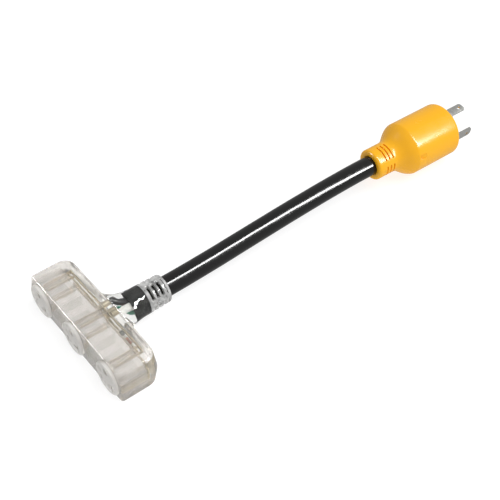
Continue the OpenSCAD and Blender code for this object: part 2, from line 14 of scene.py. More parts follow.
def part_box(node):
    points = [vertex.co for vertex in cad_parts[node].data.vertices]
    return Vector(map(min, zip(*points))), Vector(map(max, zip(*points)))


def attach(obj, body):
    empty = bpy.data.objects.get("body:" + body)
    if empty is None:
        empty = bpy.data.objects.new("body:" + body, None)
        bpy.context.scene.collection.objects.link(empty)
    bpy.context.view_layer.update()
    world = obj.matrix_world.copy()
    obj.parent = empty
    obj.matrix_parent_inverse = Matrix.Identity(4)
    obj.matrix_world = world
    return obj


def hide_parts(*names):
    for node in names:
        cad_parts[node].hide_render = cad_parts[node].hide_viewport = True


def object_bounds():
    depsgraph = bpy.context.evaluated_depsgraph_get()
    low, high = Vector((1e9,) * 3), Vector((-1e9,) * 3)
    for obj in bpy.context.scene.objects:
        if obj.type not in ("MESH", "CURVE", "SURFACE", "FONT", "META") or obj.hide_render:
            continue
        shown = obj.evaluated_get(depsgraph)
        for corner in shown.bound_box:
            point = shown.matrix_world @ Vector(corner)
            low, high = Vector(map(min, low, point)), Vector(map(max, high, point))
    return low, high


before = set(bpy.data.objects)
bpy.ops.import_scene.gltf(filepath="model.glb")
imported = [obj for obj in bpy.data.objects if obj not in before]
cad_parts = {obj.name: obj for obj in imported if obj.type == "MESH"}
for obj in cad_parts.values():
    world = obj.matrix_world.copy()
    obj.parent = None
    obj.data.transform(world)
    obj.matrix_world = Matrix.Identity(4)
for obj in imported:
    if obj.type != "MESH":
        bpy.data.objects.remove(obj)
cad_box = [list(corner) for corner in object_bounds()]
BODY = "root"
print("CAD box:", cad_box)

# %% [markdown]
# The camera stands above the outlet block and looks along the cord towards the plug. It is
# set by its place, its tilt from straight down and its turn, so nothing has to track anything.

# %% Camera
camera = bpy.data.objects.new("camera", bpy.data.cameras.new("camera"))
camera.data.sensor_width = 36
camera.data.lens = 75.63
camera.location = (-0.36205, -0.42268, 0.56884)
camera.rotation_euler = (math.radians(43.49), 0, math.radians(-38.17))
bpy.context.collection.objects.link(camera)
bpy.context.scene.camera = camera
print("camera at", tuple(camera.location))

# %% [markdown]
# ## Helpers for pieces
# A piece is finished here in one way: its faces point outwards, its edges sharper than a
# given angle stay crisp, and it takes its material and its body. A loft starts
# from a circle made by Blender and pulls its edge from ring to ring, so the faces follow.

# %% Finish a mesh as a piece
def finish_piece(name, mesh_maker, material, stands_for=(), crisp=30, recalc=True):
    if recalc:
        bmesh.ops.recalc_face_normals(mesh_maker, faces=mesh_maker.faces)
    mesh = bpy.data.meshes.new(name)
    mesh_maker.to_mesh(mesh)
    mesh_maker.free()
    mesh.shade_smooth()
    mesh.set_sharp_from_angle(angle=math.radians(crisp))
    piece = bpy.data.objects.new(name, mesh)
    bpy.context.collection.objects.link(piece)
    for each in material if isinstance(material, (list, tuple)) else [material]:
        mesh.materials.append(each)
    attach(piece, BODY)
    if stands_for:
        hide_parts(*stands_for)
    print(f"{name}: {len(mesh.polygons)} faces, {[round(s, 4) for s in piece.dimensions]} m")
    return piece


# %% Loft a skin through rings that all have the same number of points
def pull_ring(bm, edges, ring):
    before = set(bm.verts)
    order = {}
    made = bmesh.ops.extrude_edge_only(bm, edges=edges)["geom"]
    new_edges = [g for g in made if isinstance(g, bmesh.types.BMEdge)
                 and all(v not in before for v in g.verts)]
    for vert in (g for g in made if isinstance(g, bmesh.types.BMVert)):
        old = next(e.other_vert(vert) for e in vert.link_edges if e.other_vert(vert) in before)
        order[vert] = old[bm.verts.layers.int["place"]]
    for vert, place in order.items():
        vert[bm.verts.layers.int["place"]] = place
        vert.co = ring[place]
    return new_edges


def loft(rings, caps=(True, True)):
    bm = bmesh.new()
    place = bm.verts.layers.int.new("place")
    bmesh.ops.create_circle(bm, segments=len(rings[0]), radius=1)
    bm.verts.ensure_lookup_table()
    for i, vert in enumerate(bm.verts):
        vert[place] = i
        vert.co = rings[0][i]
    edges = first = list(bm.edges)
    for ring in rings[1:]:
        edges = pull_ring(bm, edges, ring)
    for wanted, rim in zip(caps, (first, edges)):
        if wanted:
            bmesh.ops.contextual_create(bm, geom=rim)
    return bm


# %% [markdown]
# ## The cord
# The cord is a thick round jacket over three conductors. It leaves the block's strain
# relief level, climbs a little, and goes into the plug's collar. It is lofted as rings
# across its own line, with a UV map that runs along it for any pattern that has to follow
# the cord. The jacket's own grain is even, so plain object coordinates carry it.

# %% The cord's line, in metres
MM = 0.001
route = [Vector(p) * MM for p in (
    (-137, 0, 14), (-122, 0, 14), (-107, 0, 14), (-95, 0, 14.1), (-83, 0.1, 14.3),
    (-71, 0.2, 14.6), (-59, 0.3, 15), (-47, 0.4, 15.6), (-35, 0.5, 16.2),
    (-23, 0.5, 16.9), (-11, 0.5, 17.6), (1, 0.5, 18.3), (13, 0.4, 19), (25, 0.3, 19.6),
    (37, 0.2, 20.2), (49, 0, 20.7), (62, -0.2, 21.1), (75, -0.5, 21.4), (87.8, -0.9, 21.5),
    (97.8, -1.2, 21.5), (107.8, -1.5, 21.5))]
RELIEF_END, PLUG_TAIL = 2, 18
CORD_R = 0.00775


# %% Points along a smooth line, and rings across it
def smooth_line(points, steps):
    line = []
    last = len(points) - 1
    for i in range(last):
        p0, p1 = points[max(i - 1, 0)], points[i]
        p2, p3 = points[i + 1], points[min(i + 2, last)]
        for s in range(steps):
            t = s / steps
            line.append(0.5 * (2 * p1 + (p2 - p0) * t + (2 * p0 - 5 * p1 + 4 * p2 - p3) * t * t
                               + (3 * p1 - p0 - 3 * p2 + p3) * t ** 3))
    return line + [points[last]]


def axes_at(line, i):
    """The level and the upright direction across a line, at its point i."""
    ahead = (line[min(i + 1, len(line) - 1)] - line[max(i - 1, 0)]).normalized()
    across = Vector((0, 0, 1)).cross(ahead).normalized()
    return across, ahead.cross(across)


def cross_rings(line, radius, count):
    rings = []
    for i, point in enumerate(line):
        across, above = axes_at(line, i)
        rings.append([point + radius * (math.cos(a) * across + math.sin(a) * above)
                      for a in (math.tau * k / count for k in range(count))])
    return rings


def run_uv(bm, line, count, turn):
    """U goes once round the piece, V counts its circumferences along it."""
    layer = bm.loops.layers.uv.new("along")
    place = bm.verts.layers.int["place"]
    far = [0.0]
    for a, b in zip(line, line[1:]):
        far.append(far[-1] + (b - a).length)
    bm.verts.ensure_lookup_table()
    step = {vert: i // count for i, vert in enumerate(bm.verts)}
    for face in bm.faces:
        places = [loop.vert[place] for loop in face.loops]
        wraps = max(places) - min(places) > count / 2
        for loop, at in zip(face.loops, places):
            round_it = at + count if wraps and at < count / 2 else at
            loop[layer].uv = (round_it / count, far[step[loop.vert]] / turn)


# %% [markdown]
# ## Finishes
# Each finish is one shader with a little procedural detail for its roughness and its bump.
# The numbers that are the same all over sit on the shader's own sockets.

# %% A finish with its grain
NOISE_LOW, NOISE_HIGH = 0.3, 0.7


def finish(name, color, rough, **sockets):
    material = bpy.data.materials.new(name)
    material.use_nodes = True
    shader = material.node_tree.nodes["Principled BSDF"]
    shader.inputs["Base Color"].default_value = (*color, 1)
    shader.inputs["Roughness"].default_value = rough
    for socket, value in sockets.items():
        shader.inputs[socket.replace("_", " ")].default_value = value
    print("finish:", name)
    return material


def node(material, kind, **values):
    made = material.node_tree.nodes.new(kind)
    for key, value in values.items():
        if key in made.inputs:
            made.inputs[key].default_value = value
        else:
            setattr(made, key, value)
    return made


def wire(material, out, into):
    material.node_tree.links.new(out, into)


def place_noise(material, scale, detail=4, stretch=(1, 1, 1)):
    spot = node(material, "ShaderNodeTexCoord")
    turn = node(material, "ShaderNodeMapping", Scale=stretch)
    noise = node(material, "ShaderNodeTexNoise", Scale=scale, Detail=detail, Roughness=0.55)
    wire(material, spot.outputs["Object"], turn.inputs["Vector"])
    wire(material, turn.outputs["Vector"], noise.inputs["Vector"])
    return noise.outputs["Fac"]


def vary(material, fac, socket, low, high):
    """The shader's socket goes from low to high over the middle of the noise's range."""
    ramp = node(material, "ShaderNodeMapRange")
    for key, value in (("From Min", NOISE_LOW), ("From Max", NOISE_HIGH),
                       ("To Min", low), ("To Max", high)):
        ramp.inputs[key].default_value = value
    wire(material, fac, ramp.inputs["Value"])
    wire(material, ramp.outputs["Result"],
         material.node_tree.nodes["Principled BSDF"].inputs[socket])


def tint(material, fac, low, high):
    mix = node(material, "ShaderNodeMix", data_type="RGBA")
    for socket in mix.inputs:
        if socket.type == "RGBA":
            socket.default_value = (*(low if socket.name == "A" else high), 1)
    wire(material, fac, mix.inputs["Factor"])
    out = next(s for s in mix.outputs if s.type == "RGBA")
    wire(material, out, material.node_tree.nodes["Principled BSDF"].inputs["Base Color"])


def bump(material, height, strength, distance):
    made = node(material, "ShaderNodeBump", Strength=strength, Distance=distance)
    shader = material.node_tree.nodes["Principled BSDF"]
    wire(material, height, made.inputs["Height"])
    if shader.inputs["Normal"].is_linked:
        wire(material, shader.inputs["Normal"].links[0].from_socket, made.inputs["Normal"])
    wire(material, made.outputs["Normal"], shader.inputs["Normal"])


# %% A moulded or rolled surface: uneven gloss, and a fine grain
def surface(material, gloss, grain, patch=160, grit=1500):
    vary(material, place_noise(material, patch), "Roughness", *gloss)
    bump(material, place_noise(material, grit, detail=3), *grain)
    return material


# %% [markdown]
# The jacket is black PVC with a soft sheen and a fine grain, and handling leaves patches that
# are a little duller. Inside the clear moulding there is no air against the jacket, so it has
# no sheen there. The same cord takes a second finish for that stretch.

# %% Black cord jacket
jacket = finish("cord jacket", (0.008, 0.008, 0.0078), 0.2, IOR=1.45)
surface(jacket, (0.10, 0.18), (0.05, 0.0001), patch=240, grit=1400)
bump(jacket, place_noise(jacket, 160, detail=2), 0.05, 0.0004)
wet_jacket = finish("jacket under clear plastic", (0.012, 0.012, 0.011), 0.6,
                    Specular_IOR_Level=0.0)
vary(wet_jacket, place_noise(wet_jacket, 200), "Roughness", 0.55, 0.7)

# %% Make the cord
JACKET_SIDES, WET_BEFORE = 64, 0.0005
line = smooth_line(route, steps=5)
bm = loft(cross_rings(line, CORD_R, JACKET_SIDES))
run_uv(bm, line, JACKET_SIDES, math.tau * CORD_R)
for face in bm.faces:
    if face.calc_center_median().x < route[RELIEF_END].x - WET_BEFORE:
        face.material_index = 1
cord = finish_piece("cord", bm, [jacket, wet_jacket], ["cord_jacket"])

# %% [markdown]
# ## Conductors
# Three insulated conductors leave the jacket in the clear neck and fan out to their crimps.
# Each is a smooth tube over a bundle of copper, and follows the jacket between its two ends.

# %% Places of the two ends
FRONT_PROUD, AXIS_Z, PLUG_L = 0.0014, 0.014, 0.0768
front_x = cad_box[0][0] + FRONT_PROUD
tail = route[PLUG_TAIL]
plug_way = (route[-1] - tail).normalized()
print("block front at", round(front_x, 4), "and plug tail at", [round(v, 4) for v in tail])

# %% Places along a conductor
BARREL_X, BARREL_L = 0.0282, 0.0055
LAY_R, WIRE_R, STRAND_R = 0.002676, 0.0023, 0.0015
IN_PLUG = (route[-1] - tail).length
ROOT_DEPTH, PLUG_BARREL_L, PLUG_BARREL_AT = 0.030, 0.007, 0.0114
ROOT_X = PLUG_L - ROOT_DEPTH
# The copper stops short of the inner end of each barrel, and the insulation off its mouth.
BLOCK_COPPER_IN, PLUG_COPPER_IN, SKIN_OFF = 0.0012, 0.001, 0.0005
# Straight runs beside the barrels, and the place where a conductor turns inside the plug.
BLOCK_STRAIGHT, PLUG_STRAIGHT, PLUG_TURN_X = 0.002, 0.0035, IN_PLUG + 0.008
ROUTE_STRIDE, WIRE_SIDES = 3, 24


def in_block(x, at):
    return Vector((front_x + x, at[0] * MM, AXIS_Z + at[1] * MM))


def in_plug(x, at):
    across = Vector((0, 0, 1)).cross(plug_way).normalized()
    return tail + x * plug_way + at[0] * MM * across + Vector((0, 0, at[1] * MM))


def conductor_path(lay, barrel, turn_at, pin_angle, bare):
    lay, pin = math.radians(lay), math.radians(pin_angle)
    crimp = (PLUG_BARREL_AT / MM * math.cos(pin), PLUG_BARREL_AT / MM * math.sin(pin))
    mouth, last = BARREL_X + BARREL_L, len(route) - 1
    path = [in_block(BARREL_X + BLOCK_COPPER_IN if bare else mouth + SKIN_OFF, barrel),
            in_block(mouth + BLOCK_STRAIGHT, barrel)]
    for i in (*range(0, last, ROUTE_STRIDE), last):
        across, above = axes_at(route, i)
        path.append(route[i] + LAY_R * (math.cos(lay) * across + math.sin(lay) * above))
    short = PLUG_COPPER_IN if bare else PLUG_BARREL_L + SKIN_OFF
    return path + [in_plug(PLUG_TURN_X, turn_at),
                   in_plug(ROOT_X - PLUG_BARREL_L - PLUG_STRAIGHT, crimp),
                   in_plug(ROOT_X - short, crimp)]


# %% Insulation in three colours, and copper
def insulation_finish(name, color, rough):
    material = finish(name, color, rough, IOR=1.48)
    tint(material, place_noise(material, 300), [c * 0.92 for c in color], color)
    return surface(material, (rough, rough + 0.12), (0.1, 0.0001), patch=500, grit=2500)


white_wire = insulation_finish("white insulation", (0.88, 0.88, 0.84), 0.3)
green_wire = insulation_finish("green insulation", (0.02, 0.20, 0.12), 0.3)
black_wire = insulation_finish("black insulation", (0.014, 0.014, 0.014), 0.28)
copper = finish("bare copper", (0.78, 0.40, 0.24), 0.34, Metallic=1.0)
vary(copper, place_noise(copper, 500), "Roughness", 0.28, 0.5)
bump(copper, place_noise(copper, 3000, detail=1, stretch=(0.08, 1, 1)), 0.5, 0.0003)

# %% Make the conductors
# Each has the angle of its lay, the place of its barrel in the block and of its turn in the
# plug (millimetres across and up), the angle of its pin, and its colour.
ways = {"hot": (15, (7, 2.5), (6, -3.3), 324, black_wire),
        "neutral": (135, (-4.5, 4.6), (-7.2, 0.5), 192, white_wire),
        "ground": (255, (0.5, -1), (-0.7, -2.6), 96, green_wire)}
for way, (lay, barrel, turn_at, pin_angle, color) in ways.items():
    for kind, radius, material, bare, slot in (
            ("insulation", WIRE_R, color, False, f"{color.name.split()[0]}_insulation"),
            ("strands", STRAND_R, copper, True, "copper")):
        path = smooth_line(conductor_path(lay, barrel, turn_at, pin_angle, bare), steps=4)
        bm = loft(cross_rings(path, radius, WIRE_SIDES))
        run_uv(bm, path, WIRE_SIDES, math.tau * radius)
        finish_piece(f"{way}_wire_{kind}", bm, material, [f"{way}_{kind}"])

# %% [markdown]
# ## The plug
# The plug is one soft moulding, turned about its own line: a bead, a ribbed collar, a cone
# and a round body with a shallow wedge where a thumb finds its turn. Rings are pulled along
# its profile. The collar's grooves are then pressed in between four lengthwise webs, which is
# how the mould leaves them so that the collar bends.

# %% Sizes on the plug
plug_frame = Matrix.Translation(tail) @ Matrix.Rotation(math.atan2(plug_way.y, plug_way.x), 4, "Z")
PLUG_R = 0.0215
COLLAR_R, COLLAR_L, CONE_L = 0.0125, 0.0182, 0.015
BEAD_R, RIM_R, SWELL = 0.0022, 0.0032, 0.0005
MOUTH_R, MOUTH_L = CORD_R + 0.0001, 0.0025
HOLDER_R, HOLDER_DEPTH, HOLDER_BEVEL_R, HOLDER_BEVEL_L = 0.0176, 0.004, 0.0004, 0.0003
print("plug body", 2 * PLUG_R, "m across")


# %% Rings about X for a profile of (distance along, radius), and curved stretches of a profile
def turned_rings(profile, count, start=0.0):
    return [[Vector((x, r * math.cos(a), r * math.sin(a)))
             for a in (start + math.tau * k / count for k in range(count))]
            for x, r in profile]


def arc(cx, cr, radius, first, last, steps):
    angles = [math.radians(first + (last - first) * i / steps) for i in range(steps + 1)]
    return [(cx + radius * math.cos(a), cr + radius * math.sin(a)) for a in angles]


def bend(p0, p1, p2, steps):
    """A soft corner that leaves p0 towards p1 and arrives at p2 from p1."""
    points = []
    for i in range(steps + 1):
        t = i / steps
        points.append(tuple((1 - t) ** 2 * a + 2 * t * (1 - t) * b + t * t * c
                            for a, b, c in zip(p0, p1, p2)))
    return points


# %% Press faces in towards the X axis, with a straight wall round them
def turn_of(point):
    """The angle of a point about X, in degrees from Y."""
    return math.degrees(math.atan2(point.z, point.y))


def press_in(bm, faces, radius):
    made = bmesh.ops.extrude_face_region(bm, geom=faces)["geom"]
    bmesh.ops.delete(bm, geom=[f for f in faces if f.is_valid], context="FACES")
    for vert in (g for g in made if isinstance(g, bmesh.types.BMVert)):
        new_r = radius(vert.co.x) if callable(radius) else radius
        far = math.hypot(vert.co.y, vert.co.z)
        vert.co.y *= new_r / far
        vert.co.z *= new_r / far


OUTER_FROM = 0.001


def between_webs(bm, x0, x1, web_turn, web_half):
    """The outer faces from x0 to x1 that lie outside four lengthwise webs."""
    found = []
    for face in bm.faces:
        middle = face.calc_center_median()
        off_web = abs((turn_of(middle) - web_turn + 45) % 90 - 45) > web_half
        outer = math.hypot(middle.y, middle.z) > CORD_R + OUTER_FROM
        if x0 < middle.x < x1 and off_web and outer:
            found.append(face)
    return found


# %% [markdown]
# The yellow PVC is dyed through. It has a satin moulded grain, very slight cloudiness in its
# colour, and dull patches where it has been handled. The soft surface takes the edge off its
# gloss, so the specular level is low.

# %% Yellow moulded plastic
yellow = finish("yellow moulding", (0.93, 0.45, 0.012), 0.36, IOR=1.46, Specular_IOR_Level=0.5)
tint(yellow, place_noise(yellow, 34), (0.935, 0.44, 0.007), (0.955, 0.475, 0.013))
surface(yellow, (0.2, 0.28), (0.14, 0.00012), patch=120, grit=1700)
bump(yellow, place_noise(yellow, 90, detail=2), 0.05, 0.0008)

# %% Sizes along the profile
FLARE_L, FLARE_W, TAIL_X = 0.0005, 0.0006, 0.0002
GROOVES, GROOVE_AT, GROOVE_PITCH, GROOVE_W, GROOVE_DEPTH = 3, 0.00745, 0.0034, 0.0013, 0.0013
WEB_TURN, WEB_HALF, LIP = 64, 11, 0.0003
SOFT_BACK, SOFT_PULL, SOFT_AHEAD = 0.0014, 0.0004, 0.0032
CONE_STEPS, CONE_SHORT, SHOULDER_BACK, SHOULDER_AHEAD = 10, 0.0008, 0.0006, 0.0007
THUMB_L, THUMB_TURN, THUMB_HALF, THUMB_STEP, THUMB_DEPTH = 0.0072, 166, 5.7, 0.0001, 0.0016
BODY_RINGS, PLUG_SIDES = (0.048, 0.056, 0.065), 96
groove_x = [GROOVE_AT + GROOVE_PITCH * i for i in range(GROOVES)]
body_x = COLLAR_L + CONE_L
thumb_end = body_x + THUMB_L


def cone_r(x):
    t = (x - COLLAR_L) / CONE_L
    return COLLAR_R + (PLUG_R - COLLAR_R) * t + SWELL * math.sin(math.tau * (t - 0.5))


def thumb_r(x):
    return PLUG_R - THUMB_STEP - THUMB_DEPTH * max(thumb_end - x, 0) / (thumb_end - body_x)


print(f"the body starts {body_x * 1000:.1f} mm from the tail, and the thumb wedge ends at "
      f"{thumb_end * 1000:.1f} mm")

# %% Profile of the plug, from the cord's mouth round the outside to the seat of the holder
profile = [(MOUTH_L, MOUTH_R), (FLARE_L, MOUTH_R), (TAIL_X, MOUTH_R + FLARE_W)]
profile += arc(BEAD_R, COLLAR_R - BEAD_R, BEAD_R, 172, 90, steps=8)
for x in groove_x:
    profile += [(at, COLLAR_R) for at in (x - LIP, x, x + GROOVE_W, x + GROOVE_W + LIP)]
soft_end = COLLAR_L + SOFT_AHEAD
profile += bend((COLLAR_L - SOFT_BACK, COLLAR_R), (COLLAR_L + SOFT_PULL, COLLAR_R),
                (soft_end, cone_r(soft_end)), steps=8)
cone_run = body_x - CONE_SHORT - soft_end
profile += [(x, cone_r(x)) for x in
            (soft_end + cone_run * i / CONE_STEPS for i in range(1, CONE_STEPS + 1))]
shoulder = body_x - SHOULDER_BACK
profile += bend((shoulder, cone_r(shoulder)), (body_x, PLUG_R),
                (body_x + SHOULDER_AHEAD, PLUG_R), steps=4)
profile += [(x, PLUG_R) for x in (thumb_end, *BODY_RINGS)]
profile += arc(PLUG_L - RIM_R, PLUG_R - RIM_R, RIM_R, 90, 4, steps=10)
profile += [(PLUG_L, HOLDER_R + HOLDER_BEVEL_R), (PLUG_L - HOLDER_BEVEL_L, HOLDER_R),
            (PLUG_L - HOLDER_DEPTH, HOLDER_R)]
print(len(profile), "rings on the plug")

# %% Plug shell with its grooves
bm = loft(turned_rings(profile, PLUG_SIDES, start=math.radians(0.5)))
for x in groove_x:
    press_in(bm, between_webs(bm, x, x + GROOVE_W, WEB_TURN, WEB_HALF), COLLAR_R - GROOVE_DEPTH)
thumb = [face for face in bm.faces
         if body_x + SHOULDER_AHEAD < face.calc_center_median().x < thumb_end
         and abs(turn_of(face.calc_center_median()) - THUMB_TURN) < THUMB_HALF]
press_in(bm, thumb, thumb_r)
print("faces in the thumb wedge:", len(thumb))
bmesh.ops.transform(bm, matrix=plug_frame, verts=bm.verts)
shell = finish_piece("plug_moulding", bm, yellow, ["plug_shell"], crisp=38)


# %% Round its edges with a small bevel
def soften(piece, width, segments=2, over=35):
    bevel = piece.modifiers.new("soft edges", "BEVEL")
    bevel.width, bevel.segments, bevel.limit_method = width, segments, "ANGLE"
    bevel.angle_limit = math.radians(over)
    bevel.harden_normals = True


soften(shell, 0.0002, over=50)

# %% [markdown]
# ## The clear block
# The block, its flared neck and its ribbed relief are one moulding in clear flexible PVC,
# which is never quite clear. The thick block is hazy with flow marks and tiny bubbles, the
# thin neck is almost like glass, and the ribs are scuffed white by bending. The same recipe
# makes all three, with more or less light going through.

# %% Clear plastic at three degrees of haze
def clear_plastic(name, color, haze, rough):
    material = finish(name, color, rough, IOR=1.45, Transmission_Weight=1.0)
    vary(material, place_noise(material, 150, detail=5), "Transmission Weight", *haze)
    vary(material, place_noise(material, 90), "Roughness", rough, rough + 0.04)
    bump(material, place_noise(material, 60, detail=2), 0.45, 0.0016)
    bump(material, place_noise(material, 210, detail=2), 0.3, 0.0008)
    return material


hazy_clear = clear_plastic("hazy clear block", (0.89, 0.87, 0.835), (0.74, 0.94), 0.03)
neck_clear = clear_plastic("clear neck", (0.95, 0.955, 0.94), (0.96, 1.0), 0.02)
rib_clear = clear_plastic("scuffed clear ribs", (0.97, 0.97, 0.96), (0.35, 0.85), 0.06)

# %% [markdown]
# The shape is lofted from the front to the end of the relief: rounded frames along the block,
# which lean in from mid height as a mould needs, then circles. The front is filled round
# three openings, which are drawn in as shallow seats for the outlet faces. The windows of the
# relief are pressed in to the jacket.

# %% Sizes of the block
BLOCK_L, BLOCK_W, BLOCK_H = 0.1165, 0.033, 2 * AXIS_Z
DRAFT, EDGE_R, BACK_R, FRONT_R, FRONT_EDGE_R = 0.0024, 0.0025, 0.010, 0.0025, 0.0012
NECK_L, NECK_OPEN, NECK_ROOT, NECK_HALF = 0.023, 0.0044, 0.0075, 0.01275
RELIEF_L, RELIEF_R, RELIEF_TIP_R = 0.018, 0.0112, 0.0107
OUTLET_PITCH, SEAT_R, SEAT_X = 0.042, 0.0128, 0.0027
to_block = Matrix.Translation((front_x, 0, AXIS_Z))
print("block", BLOCK_L, "by", BLOCK_W, "by", BLOCK_H, "m")


# %% A rounded frame across the block
CORNER_STEPS, EDGE_STEPS = 8, 3


def block_frame(x, half_y, half_z, corner, lean, bow):
    """It leans in by lean at its top and bottom, where bow also shifts it along the block."""
    quarter = []
    for i in range(CORNER_STEPS + 1):
        a = math.pi / 2 * i / CORNER_STEPS
        z = half_z - corner + corner * math.sin(a)
        quarter.append((half_y - corner + corner * math.cos(a) - lean * z / half_z, z))
    top = quarter[-1][0]
    along_top = [top * (1 - i / EDGE_STEPS) for i in range(1, 2 * EDGE_STEPS)]
    outline = quarter + [(y, half_z) for y in along_top]
    outline += [(-y, z) for y, z in reversed(quarter)] + [(-half_y, 0)]
    outline += [(-y, -z) for y, z in quarter] + [(-y, -half_z) for y in along_top]
    outline += [(y, -z) for y, z in reversed(quarter)] + [(half_y, 0)]
    return [Vector((x + bow * abs(z) / half_z, y, z)) for y, z in outline]


def inset_at(distance, radius):
    """How far a rounded corner pulls in, at a distance from the face that it turns to."""
    if distance >= radius:
        return 0.0
    return radius - math.sqrt(radius ** 2 - (radius - distance) ** 2)


# %% Frames along the block, closer together where an edge turns
FROM_FRONT = (0.0, 0.0001, 0.0003, 0.0006, 0.0009, 0.0012, 0.0018, 0.0025, 0.008, 0.0155, 0.023)
FROM_BACK = (0.0085, 0.007, 0.0055, 0.004, 0.0028, 0.0018, 0.001, 0.0004, 0.0001)
EDGE_SHARE, LEAST_CORNER = 0.9, 0.0009
frames = []
for x in (*FROM_FRONT, *(BLOCK_W - d for d in FROM_BACK)):
    dy = inset_at(x, FRONT_R) + inset_at(BLOCK_W - x, BACK_R)
    dz = EDGE_SHARE * inset_at(x, FRONT_EDGE_R) + EDGE_SHARE * inset_at(BLOCK_W - x, EDGE_R)
    bow = DRAFT / 2 * (1 - 2 * x / BLOCK_W)
    corner = max(EDGE_R - dz, LEAST_CORNER)
    frames.append(block_frame(x, BLOCK_L / 2 - dy, BLOCK_H / 2 - dz, corner, DRAFT, bow))
ring_points = len(frames[0])
print(ring_points, "points in a frame")


# %% Circles along the neck and the relief
FLATNESS, FRAME_PHASE = 8, 3.5


def neck_r(t):
    """The neck opens slowly from the relief (t = 0), and sharply at the block (t = 1)."""
    return RELIEF_R + NECK_OPEN * t * t + NECK_ROOT * t ** 8


def circle_at(x, radius, most_z=1.0):
    """A circle that is drawn flat where it would pass most_z, in step with the frames."""
    flat = radius / (1 + (radius / most_z) ** FLATNESS) ** (1 / FLATNESS)
    angles = [math.tau * (k - FRAME_PHASE) / ring_points for k in range(ring_points)]
    return [Vector((x, radius * math.cos(a), flat * math.sin(a))) for a in angles]


# %% Rings of the neck, and of the relief with its windows
ALONG_NECK = (0.0, 0.0006, 0.0014, 0.0024, 0.0036, 0.005, 0.007, 0.010, 0.0135, 0.018)
WINDOWS, WINDOW_W, FIRST_WINDOW, RELIEF_PITCH = 4, 0.0026, 0.6, RELIEF_L / 4.4
TIP_ROUNDING = ((0.0008, 0.0002), (0.0003, 0.0005), (0, 0.0011))
for d in ALONG_NECK:
    frames.append(circle_at(BLOCK_W + d, neck_r(1 - d / NECK_L), NECK_HALF))
relief_x = BLOCK_W + NECK_L
windows = [[relief_x + (i + FIRST_WINDOW) * RELIEF_PITCH, WINDOW_W] for i in range(WINDOWS)]
windows[-1][1] /= 2
along = [relief_x] + [x for start, wide in windows for x in (start, start + wide)]
frames += [circle_at(x, RELIEF_R + (RELIEF_TIP_R - RELIEF_R) * (x - relief_x) / RELIEF_L)
           for x in along]
frames += [circle_at(relief_x + RELIEF_L - back, RELIEF_TIP_R - down)
           for back, down in TIP_ROUNDING]
print(len(frames), "rings in all")

# %% Loft the moulding, and press its windows in to the jacket
RELIEF_WEB, WINDOW_BITE, LAST_WINDOW_WALL = 75, 0.00015, 0.0006
bm = loft(frames, caps=(False, True))
for start, wide in windows:
    floor_r = CORD_R - WINDOW_BITE if wide == WINDOW_W else CORD_R + LAST_WINDOW_WALL
    press_in(bm, between_webs(bm, start, start + wide, RELIEF_WEB, WEB_HALF), floor_r)
print("windows in the relief:", len(windows))

# %% Fill the front round the three outlet seats
SEAT_SIDES = 48
front_rim = [edge for edge in bm.edges if edge.is_boundary]
seat_rims = []
for y in (OUTLET_PITCH, 0, -OUTLET_PITCH):
    stand = Matrix.Translation((0, y, 0)) @ Matrix.Rotation(math.pi / 2, 4, "Y")
    made = bmesh.ops.create_circle(bm, segments=SEAT_SIDES, radius=SEAT_R, matrix=stand)["verts"]
    seat_rims += list({edge for vert in made for edge in vert.link_edges})
lean_back = {vert: vert.co.x for edge in front_rim for vert in edge.verts}
for vert in lean_back:
    vert.co.x = 0
bmesh.ops.triangle_fill(bm, edges=front_rim + seat_rims, use_beauty=True, normal=(-1, 0, 0))
for vert, x in lean_back.items():
    vert.co.x = x
for vert in {vert for edge in seat_rims for vert in edge.verts}:
    vert.co.x = DRAFT / 2 * abs(vert.co.z) / (BLOCK_H / 2)
walls = bmesh.ops.extrude_edge_only(bm, edges=seat_rims)["geom"]
for vert in (g for g in walls if isinstance(g, bmesh.types.BMVert)):
    vert.co.x = SEAT_X
bmesh.ops.holes_fill(bm, edges=[edge for edge in bm.edges if edge.is_boundary], sides=0)
bmesh.ops.transform(bm, matrix=to_block, verts=bm.verts)

# %% Give the block, the neck and the ribs their own clearness
NECK_FROM = BLOCK_W - 0.0002
for face in bm.faces:
    x = face.calc_center_median().x - front_x
    face.material_index = 0 if x < NECK_FROM else 1 if x < relief_x else 2
print("open edges on the block:", sum(edge.is_boundary for edge in bm.edges))
finish_piece("clear_block", bm, [hazy_clear, neck_clear, rib_clear],
             ["clear_housing"], crisp=32)

# %% [markdown]
# ## Pieces that keep their stamped or moulded shape
# The inner pieces already have their true shape. A copy of each is merged and its flat faces
# joined, and a small bevel rounds its edges, because no stamped or moulded edge is sharp.

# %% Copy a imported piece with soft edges
def softened(name, source, material, edge=0.0002):
    bm = bmesh.new()
    bm.from_mesh(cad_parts[source].data)
    bmesh.ops.remove_doubles(bm, verts=bm.verts, dist=1e-6)
    bmesh.ops.dissolve_limit(bm, angle_limit=math.radians(1), verts=bm.verts, edges=bm.edges)
    piece = finish_piece(name, bm, material, [source], recalc=False)
    soften(piece, edge)
    return piece


# %% [markdown]
# The holder inside the block is moulded in a milky plastic that lets most light through, so
# the strips show faintly. The outlet faces are a denser plastic, so that their slots can be
# read. Alpha on the shader gives that haze without the noise of true scattering.

# %% Milky plastics
milky = finish("milky holder", (0.84, 0.80, 0.78), 0.42, Alpha=0.18)
tint(milky, place_noise(milky, 60), (0.81, 0.77, 0.75), (0.87, 0.84, 0.81))
surface(milky, (0.36, 0.5), (0.12, 0.0002), patch=150, grit=900)
hazy = finish("hazy face", (0.88, 0.86, 0.83), 0.3, Alpha=0.6)
surface(hazy, (0.24, 0.36), (0.1, 0.00015), patch=180, grit=1200)

# %% [markdown]
# The strips are stamped brass, dulled and browned in places by handling before they were
# moulded in. The pins are nickel plated: rolled lines run along them, and mating sockets
# have rubbed their ends.

